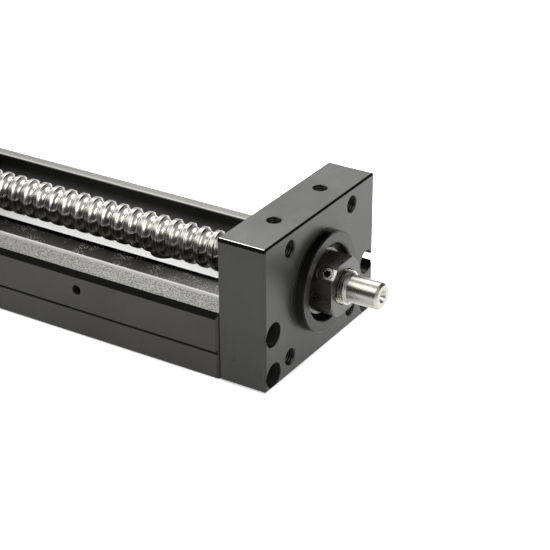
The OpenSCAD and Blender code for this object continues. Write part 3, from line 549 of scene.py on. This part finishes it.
    # the relief: black, with bright chips and flecks
    chips = nd(nt, "ShaderNodeTexVoronoi", {"feature": "F1"}, Vector=scaled(nt, P, 1300, 1900, 1900), Scale=1.0, Randomness=1.0)
    chip = both(ramp(nt, chips.outputs["Distance"], 0.20, 0.30, 1.0, 0.0), ramp(nt, noise(nt, P, 150.0, 3.0, 0.6), 0.47, 0.59))
    toward = ramp(nt, X, 0.095, 0.140)
    fleck = ramp(nt, noise(nt, scaled(nt, P, 1500, 2800, 2800), 1.0, 4.0, 0.75), 0.42, 0.60)
    fleck = both(fleck, toward, ramp(nt, noise(nt, P, 90.0, 3.0, 0.6), 0.35, 0.60, 0.35, 1.0))
    kerb = both(math_(nt, "LESS_THAN", math_(nt, "ABSOLUTE", NZ), 0.5), math_(nt, "LESS_THAN", Y, 0.0090), math_(nt, "GREATER_THAN", Z, 0.0070), math_(nt, "LESS_THAN", Z, 0.0083))
    seen = ramp(nt, sep.outputs[1], -0.004, 0.0, 0.0, 1.0)
    chip = both(chip, seen)
    fleck = both(fleck, seen)
    relief_col = mixc(nt, both(toward, seen), (0.009, 0.009, 0.008), (0.105, 0.105, 0.098))
    relief_col = mixc(nt, math_(nt, "MULTIPLY", fleck, 0.80), relief_col, (0.36, 0.36, 0.34))
    relief_col = mixc(nt, chip, relief_col, (0.62, 0.62, 0.58))
    col = mixc(nt, math_(nt, "MAXIMUM", relief, kerb), col, relief_col)
    rough = mixf(nt, relief, rough, 0.34)
    metal = math_(nt, "MAXIMUM", math_(nt, "MAXIMUM", math_(nt, "MULTIPLY", band, 0.75), math_(nt, "MULTIPLY", lip, 0.9)), math_(nt, "MULTIPLY", floor_, 0.12))
    metal = math_(nt, "MAXIMUM", metal, math_(nt, "MAXIMUM", math_(nt, "MULTIPLY", worn, 0.9), math_(nt, "MULTIPLY", wall, 0.6)))
    metal = math_(nt, "MAXIMUM", metal, math_(nt, "MULTIPLY", math_(nt, "MAXIMUM", relief, kerb), math_(nt, "SUBTRACT", 0.85, math_(nt, "MULTIPLY", math_(nt, "MAXIMUM", chip, fleck), 0.8))))
    set_(nt, b, "Base Color", col)
    set_(nt, b, "Roughness", rough)
    set_(nt, b, "Metallic", metal)
    b.inputs["IOR"].default_value = 1.365
    b.inputs["Specular Tint"].default_value = (1.0, 0.975, 0.91, 1.0)
    h = mixf(nt, band, math_(nt, "MULTIPLY", fine, 0.12), mottle)
    h = mixf(nt, floor_, h, math_(nt, "MULTIPLY", along, 0.3))
    set_(nt, b, "Normal", bump(nt, h, 0.35, 0.00003, 0.00012))
    return m


def assign(node, mat):
    o = NODES[node]
    o.data.materials.clear()
    o.data.materials.append(mat)


# where the set screws of the lock nut stand: their x and the axis height
SET_AT = (0.5 * (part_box("lock_nut_set_screws")[0].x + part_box("lock_nut_set_screws")[1].x), 0.0, 0.5 * (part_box("ball_screw")[0].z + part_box("ball_screw")[1].z))

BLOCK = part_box("drive_end_block")
M_BLOCK = coated_black("coated_block", base=0.020, ior=1.39, marks=(1, 1, 1), threads=(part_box("lock_nut")[0].x - 0.0008, SET_AT[2], BLOCK[0].x + (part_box("lock_nut")[0].x - 0.0008 - BLOCK[0].x) - 0.008), rounded=0.00016,
                       block=(BLOCK[1].y, BLOCK[1].z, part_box("lock_nut")[0].x - 0.0008, SET_AT[2]))
M_COVER = coated_black("coated_cover", base=0.02)
M_RAIL = rail_material("treated_rail")
M_OXIDE = black_oxide("black_oxide")
M_NUT = black_oxide("nut_oxide", base=0.008, rough=0.27, tint=(1.10, 1.0, 0.92), metal=0.0, spot=SET_AT, vary=1.25)
M_SCREW = ground_steel("screw_ground", (0.45, 0.435, 0.40), 0.23, marks=(1, 60, 60), scratch=0.05, tarnish=0.12, edge=0.0, streak=0.45)
# lit and shaded copies of the screw steel: the land is darkened (painted shade), the rims brightened (painted
# highlight)
M_LAND_PAINTED_SHADE = ground_steel("screw_land_painted_shade", (0.27, 0.263, 0.243), 0.30, marks=(1, 60, 60), scratch=0.03, tarnish=0.1, edge=0.0)
M_RIM_PAINTED_HIGHLIGHT = ground_steel("screw_rim_painted_highlight", (0.84, 0.83, 0.79), 0.27, marks=(1, 60, 60), scratch=0.02, tarnish=0.05, edge=0.0)
M_THREAD = ground_steel("fine_thread", (0.42, 0.41, 0.345), 0.26, marks=(1, 60, 60), scratch=0.05, tarnish=0.2, edge=0.0)
# painted shade: the roots of the fine thread are near black
M_THREAD_ROOT_PAINTED_SHADE = ground_steel("fine_thread_root_painted_shade", (0.030, 0.029, 0.022), 0.40, marks=(1, 60, 60), scratch=0.05, edge=0.0)
M_JOURNAL = ground_steel("journal_ground", (0.40, 0.392, 0.350), 0.29, marks=(1, 60, 60), scratch=0.12, edge=0.0)
M_BEARING = ground_steel("bearing_ground", (0.50, 0.50, 0.49), 0.22, marks=(1, 40, 40))
M_CARRIAGE = ground_steel("carriage_ground", (0.44, 0.44, 0.43), 0.30, marks=(40, 1, 40), scratch=0.2)
M_ZINC = ground_steel("bright_zinc", (0.66, 0.66, 0.64), 0.24, marks=(1, 1, 1))
M_SET = set_steel("set_screw_steel", SET_AT)
# painted shade: the spacer collars are a darkened steel, for their place deep in the bore
M_COLLAR_PAINTED_SHADE = ground_steel("collar_steel_painted_shade", (0.17, 0.17, 0.16), 0.40, marks=(1, 30, 30))
M_BALL = polished_ball("polished_ball")
M_BRASS = brass("satin_brass")
M_PLATE = plastic("dark_plastic", (0.022, 0.023, 0.025), 0.42)
M_WHITE = plastic("white_plastic", (0.78, 0.76, 0.70), 0.5)
M_RUBBER = rubber("matt_rubber")

for names, mat in (
    (("drive_end_block", "idle_end_block"), M_BLOCK),
    (("bearing_cover",), M_COVER),
    (("base_rail",), M_RAIL),
    (("drive_block_screws", "idle_block_screws", "bearing_cover_screws", "nut_lock_screws", "idle_circlip"), M_OXIDE),
    (("lock_nut",), M_NUT),
    (("lock_nut_set_screws",), M_SET),
    (("lock_nut_pads", "front_bearing_cage", "rear_bearing_cage", "grease_nipple"), M_BRASS),
    (("front_spacer_collar", "rear_spacer_collar"), M_COLLAR_PAINTED_SHADE),
    (("front_bearing_outer_ring", "front_bearing_inner_ring", "rear_bearing_outer_ring",
      "rear_bearing_inner_ring", "idle_bearing_outer_ring", "idle_bearing_inner_ring", "idle_bearing_shields", "ball_nut"), M_BEARING),
    (("front_bearing_balls", "rear_bearing_balls", "idle_bearing_balls", "screw_balls", "guide_balls"), M_BALL),
    (("carriage_block",), M_CARRIAGE),
    (("carriage_end_screws",), M_ZINC),
    (("carriage_end_plates", "idle_end_cap"), M_PLATE),
    (("ball_deflectors", "nut_wipers"), M_WHITE),
    (("drive_stop_bumper", "idle_stop_bumper", "carriage_end_seals"), M_RUBBER),
):
    for n in names:
        assign(n, mat)

# ---------------------------------------------------------------- the ball screw

MM = 0.001
AXIS_Z = 0.5 * (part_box("ball_screw")[0].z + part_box("ball_screw")[1].z)
LEAD = 5.0
R_LAND, R_ROOT = 6.0, 5.02
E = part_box("ball_screw")[1].x / MM - 20.0   # outer face of the drive block
THREAD_X0, THREAD_X1 = -155.0, E - 21.0
PHASE = -1.45


def groove_profile():
    """(u, r, slot) through one lead in mm: a narrow land with rolled-over rims, then a broad rounded groove. slot is the material of the face that follows."""
    rg = 2.25                     # groove radius
    er = 0.20                     # radius of the rolled rims
    depth = R_LAND - R_ROOT
    cy = R_ROOT + rg
    # the edge circle touches the land line and the groove circle
    ey = R_LAND - er
    ex = math.sqrt((rg + er) ** 2 - (cy - ey) ** 2)
    phi = math.atan2(ex, cy - ey)
    land = LEAD / 2 - ex          # flat half width
    # slot 2, the land, takes the darker copy of the screw steel (painted shade) and slot 3, the rims, the brighter copy
    # (painted highlight)
    pts = [(-land, R_LAND, 2), (0.0, R_LAND, 2), (land, R_LAND, 3)]
    n = 5
    for i in range(1, n):
        a = phi * i / n
        pts.append((land + er * math.sin(a), ey + er * math.cos(a), 3))
    n = 14
    for i in range(n + 1):
        a = -phi + 2 * phi * i / n
        pts.append((LEAD / 2 + rg * math.sin(a), cy - rg * math.cos(a), 0 if i < n else 3))
    n = 5
    for i in range(n - 1, 0, -1):
        a = phi * i / n
        pts.append((LEAD - land - er * math.sin(a), ey + er * math.cos(a), 3))
    return pts


def revolve(bm, ring, profile, segs, mat=0, smooth=True):
    """Carries a ring of vertices on through (x, r) pairs in mm; returns the last ring."""
    for k, (x, r) in enumerate(profile):
        if r <= 1e-6:
            v = bm.verts.new((x * MM, 0, AXIS_Z))
            for j in range(segs):
                f = bm.faces.new((ring[j], v, ring[(j + 1) % segs]))
                f.material_index, f.smooth = mat, smooth
            return [v]
        nxt = [bm.verts.new((x * MM, r * MM * math.cos(2 * math.pi * j / segs), AXIS_Z + r * MM * math.sin(2 * math.pi * j / segs))) for j in range(segs)]
        for j in range(segs):
            f = bm.faces.new((ring[j], nxt[j], nxt[(j + 1) % segs], ring[(j + 1) % segs]))
            f.material_index, f.smooth = mat, smooth
        ring = nxt
    return ring


def helix_grid(bm, prof, lead, x_from, x_to, segs, mat, shift=0.0):
    """A right-handed threaded skin running past x_from and x_to (mm)."""
    K = len(prof)
    n0 = math.floor((x_from - shift) / lead) - 2
    n1 = math.ceil((x_to - shift) / lead) + 1
    rows = (n1 - n0) * K
    grid = []
    for i in range(rows):
        n, k = n0 + i // K, i % K
        u, r = prof[k][:2]
        line = []
        for j in range(segs):
            th = 2 * math.pi * j / segs
            x = shift + n * lead + u + lead * j / segs
            line.append(bm.verts.new((x * MM, r * MM * math.cos(th), AXIS_Z + r * MM * math.sin(th))))
        grid.append(line)
    for i in range(rows - 1):
        for j in range(segs):
            if j + 1 < segs:
                q = (grid[i][j], grid[i + 1][j], grid[i + 1][j + 1], grid[i][j + 1])
            else:
                if i + K + 1 >= rows:
                    continue
                q = (grid[i][j], grid[i + 1][j], grid[i + 1 + K][0], grid[i + K][0])
            f = bm.faces.new(q)
            f.material_index = prof[i % K][2] if mat is None else mat
            f.smooth = True
    return grid


def cut_at(bm, x, keep_below):
    geom = bm.verts[:] + bm.edges[:] + bm.faces[:]
    n = Vector((1, 0, 0)) if keep_below else Vector((-1, 0, 0))
    res = bmesh.ops.bisect_plane(bm, geom=geom, dist=1e-9, plane_co=(x * MM, 0, AXIS_Z), plane_no=n, clear_outer=True)
    return res


def rim_edges(bm, x):
    return [e for e in bm.edges if e.is_boundary and all(abs(v.co.x - x * MM) < 2e-7 for v in e.verts)]


def ring_verts(bm, x, r, segs):
    vs = [bm.verts.new((x * MM, r * MM * math.cos(2 * math.pi * j / segs), AXIS_Z + r * MM * math.sin(2 * math.pi * j / segs))) for j in range(segs)]
    es = [bm.edges.new((vs[j], vs[(j + 1) % segs])) for j in range(segs)]
    return vs, es


def threaded_bm(prof, lead, x0, x1, segs, mat, shift=0.0):
    bm = bmesh.new()
    helix_grid(bm, prof, lead, x0, x1, segs, mat, shift)
    cut_at(bm, x1, True)
    cut_at(bm, x0, False)
    return bm


def make_screw():
    segs = 96
    bm = threaded_bm(groove_profile(), LEAD, THREAD_X0, THREAD_X1, segs, None, PHASE)
    # fine thread for the lock nut, merged in as its own stretch
    p = 0.75
    # the thread's root faces take slot 5, the painted shade of the fine thread roots
    fine = [(-0.08, 4.99, 4), (0.08, 4.99, 4), (0.30, 4.60, 5), (0.45, 4.60, 4)]
    bf = threaded_bm(fine, p, E - 1.0, E + 9.75, segs, None)
    me = bpy.data.meshes.new("tmp_fine")
    bf.to_mesh(me)
    bm.from_mesh(me)
    bf.free()
    bpy.data.meshes.remove(me)

    def close(x, r):
        """Flat shoulder at x from the threaded rim to a circle of radius r; returns the circle."""
        rim = rim_edges(bm, x)
        vs, es = ring_verts(bm, x, r, segs)
        res = bmesh.ops.triangle_fill(bm, use_beauty=True, use_dissolve=False, edges=rim + es)
        for f in res["geom"]:
            if isinstance(f, bmesh.types.BMFace):
                f.smooth = False
                f.material_index = 1
        return vs

    # drive side: shoulder, bearing seat, lock nut thread, journal
    a = close(THREAD_X1, 5.0 - 0.25)
    seat_end = close(E - 1.0, 4.45)
    last = revolve(bm, a, [(THREAD_X1 + 0.001, 4.76), (THREAD_X1 + 0.25, 5.0), (E - 1.4, 5.0), (E - 1.25, 4.6)], segs, 1)
    for j in range(segs):
        f = bm.faces.new((last[j], seat_end[j], seat_end[(j + 1) % segs], last[(j + 1) % segs]))
        f.material_index, f.smooth = 1, True
    b_ = close(E + 9.75, 4.52)
    jr = revolve(bm, b_, [(E + x, r) for x, r in ((9.80, 4.50), (10.25, 4.04))], segs, 2)
    jr = revolve(bm, jr, [(E + x, r) for x, r in ((10.35, 4.0), (15.0, 4.0), (19.30, 4.0), (19.38, 3.97), (19.94, 3.42), (20.0, 3.34))], segs, 1)
    # centre hole: flat end, cone, drill
    revolve(bm, jr, [(E + x, r) for x, r in ((20.0, 1.85), (19.93, 1.78), (18.45, 0.85), (17.0, 0.85), (16.6, 0.0))], segs, 1)
    # idle side: shoulder, seat, end
    c = close(-155.0, 3.9)
    revolve(bm, c, [(-155.25, 4.0), (-163.2, 4.0), (-163.5, 3.7), (-163.5, 1.6), (-162.6, 1.0), (-161.5, 0.0)], segs, 1)
    bmesh.ops.recalc_face_normals(bm, faces=bm.faces[:])
    me = bpy.data.meshes.new("ball_screw_threaded")
    bm.to_mesh(me)
    loose = sum(1 for e in bm.edges if not e.is_manifold)
    bm.free()
    print("screw faces", len(me.polygons), "non-manifold edges", loose)
    o = bpy.data.objects.new("ball_screw_threaded", me)
    bpy.context.scene.collection.objects.link(o)
    me.materials.append(M_SCREW)
    me.materials.append(M_JOURNAL)
    me.materials.append(M_LAND_PAINTED_SHADE)
    me.materials.append(M_RIM_PAINTED_HIGHLIGHT)
    me.materials.append(M_THREAD)
    me.materials.append(M_THREAD_ROOT_PAINTED_SHADE)
    me.set_sharp_from_angle(angle=math.radians(19))
    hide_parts("ball_screw")
    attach(o, "screw")
    return o


make_screw()

# ---------------------------------------------------------------- stage, light, camera


def area(name, pos, target, sx, sy, radiance, colour=(1, 1, 1)):
    L = bpy.data.lights.new(name, "AREA")
    L.shape = "RECTANGLE"
    L.size, L.size_y = sx, sy
    L.energy = radiance * sx * sy * math.pi
    L.color = colour
    o = bpy.data.objects.new(name, L)
    bpy.context.scene.collection.objects.link(o)
    d = Vector(target) - Vector(pos)
    o.location = pos
    o.rotation_mode = "QUATERNION"
    o.rotation_quaternion = d.to_track_quat("-Z", "Y")
    o.visible_camera = False
    return o


C = Vector((0.12, 0.0, 0.03))


def at(direction, dist):
    return C + Vector(direction).normalized() * dist


# floor
fm, fnt, fb = new_mat("studio_paper", (0.80, 0.80, 0.80), 0.0, 0.9)
fb.inputs["Specular IOR Level"].default_value = 0.1
fP = coords(fnt)
fn = noise(fnt, fP, 30.0, 3.0, 0.6)
set_(fnt, fb, "Base Color", mixc(fnt, fn, (0.86, 0.86, 0.86), (0.88, 0.88, 0.88)))
fb.inputs["Emission Color"].default_value = (1, 1, 1, 1)
fb.inputs["Emission Strength"].default_value = 0.50
bm = bmesh.new()
bmesh.ops.create_grid(bm, x_segments=8, y_segments=8, size=4.0)
me = bpy.data.meshes.new("studio_floor")
bm.to_mesh(me)
bm.free()
floor = bpy.data.objects.new("studio_floor", me)
me.materials.append(fm)
bpy.context.scene.collection.objects.link(floor)
floor.location.z = cad_lo.z

# world
w = bpy.data.worlds.new("studio")
bpy.context.scene.world = w
w.use_nodes = True
wt = w.node_tree
wt.nodes.clear()
wo = wt.nodes.new("ShaderNodeOutputWorld")
bg = wt.nodes.new("ShaderNodeBackground")
wt.links.new(bg.outputs[0], wo.inputs[0])
bg.inputs[0].default_value = (1, 1, 1, 1)
# a pale room with dark drapes low on the near side and beyond the drive end
wc = wt.nodes.new("ShaderNodeTexCoord").outputs["Generated"]
ws = nd(wt, "ShaderNodeSeparateXYZ", _0=wc)
near_side = math_(wt, "MULTIPLY", ramp(wt, ws.outputs[1], -0.62, -0.30, 1.0, 0.0), ramp(wt, ws.outputs[2], 0.66, 0.80, 1.0, 0.0))
beyond = math_(wt, "MULTIPLY", ramp(wt, ws.outputs[0], 0.05, 0.30), ramp(wt, ws.outputs[2], 0.60, 0.75, 1.0, 0.0))
beyond = math_(wt, "MULTIPLY", beyond, ramp(wt, ws.outputs[1], 0.10, 0.40))
drape = math_(wt, "MAXIMUM", near_side, beyond)
wt.links.new(mixf(wt, drape, 0.60, 0.05), bg.inputs[1])

area("back_softbox", at((-0.467, 0.580, 0.668), 1.2), C, 0.80, 0.80, 3.3)
area("top_softbox", at((-0.467, -0.366, 0.805), 1.2), C, 0.80, 0.60, 3.3)
area("right_softbox", at((0.70, -0.32, 0.64), 1.2), C, 0.55, 0.50, 3.2)
area("left_softbox", at((-0.93, 0.20, 0.30), 1.2), C, 0.60, 0.45, 2.6)
area("over_softbox", at((0.62, 0.06, 0.78), 1.2), C, 0.50, 0.50, 2.6)
fill = area("floor_fill", (0.30, 0.20, 0.26), (0.24, 0.13, 0.0), 0.20, 0.20, 7.0)
fill.visible_glossy = False

cam_d = bpy.data.cameras.new("camera")
cam = bpy.data.objects.new("camera", cam_d)
bpy.context.scene.collection.objects.link(cam)
bpy.context.scene.camera = cam
az, el, roll = math.radians(32.11), math.radians(27.528), math.radians(-0.282)
back = Vector((math.sin(az) * math.cos(el), -math.cos(az) * math.cos(el), math.sin(el)))
cam_d.sensor_width = 36.0
cam_d.lens = 1768.6 * 36.0 / 550.0
cam.location = (0.39218 + (E - 165.5) * MM, -0.38613, 0.25784)
right = Vector((math.cos(az), math.sin(az), 0.0))
up = back.cross(right)
right, up = math.cos(roll) * right + math.sin(roll) * up, math.cos(roll) * up - math.sin(roll) * right
cam.rotation_mode = "QUATERNION"
cam.rotation_quaternion = Matrix((right, up, back)).transposed().to_quaternion()
cam_d.clip_start, cam_d.clip_end = 0.01, 50.0

bpy.context.scene.view_settings.view_transform = "Standard"
bpy.context.scene.view_settings.look = "None"
bpy.context.scene.view_settings.exposure = 0.0
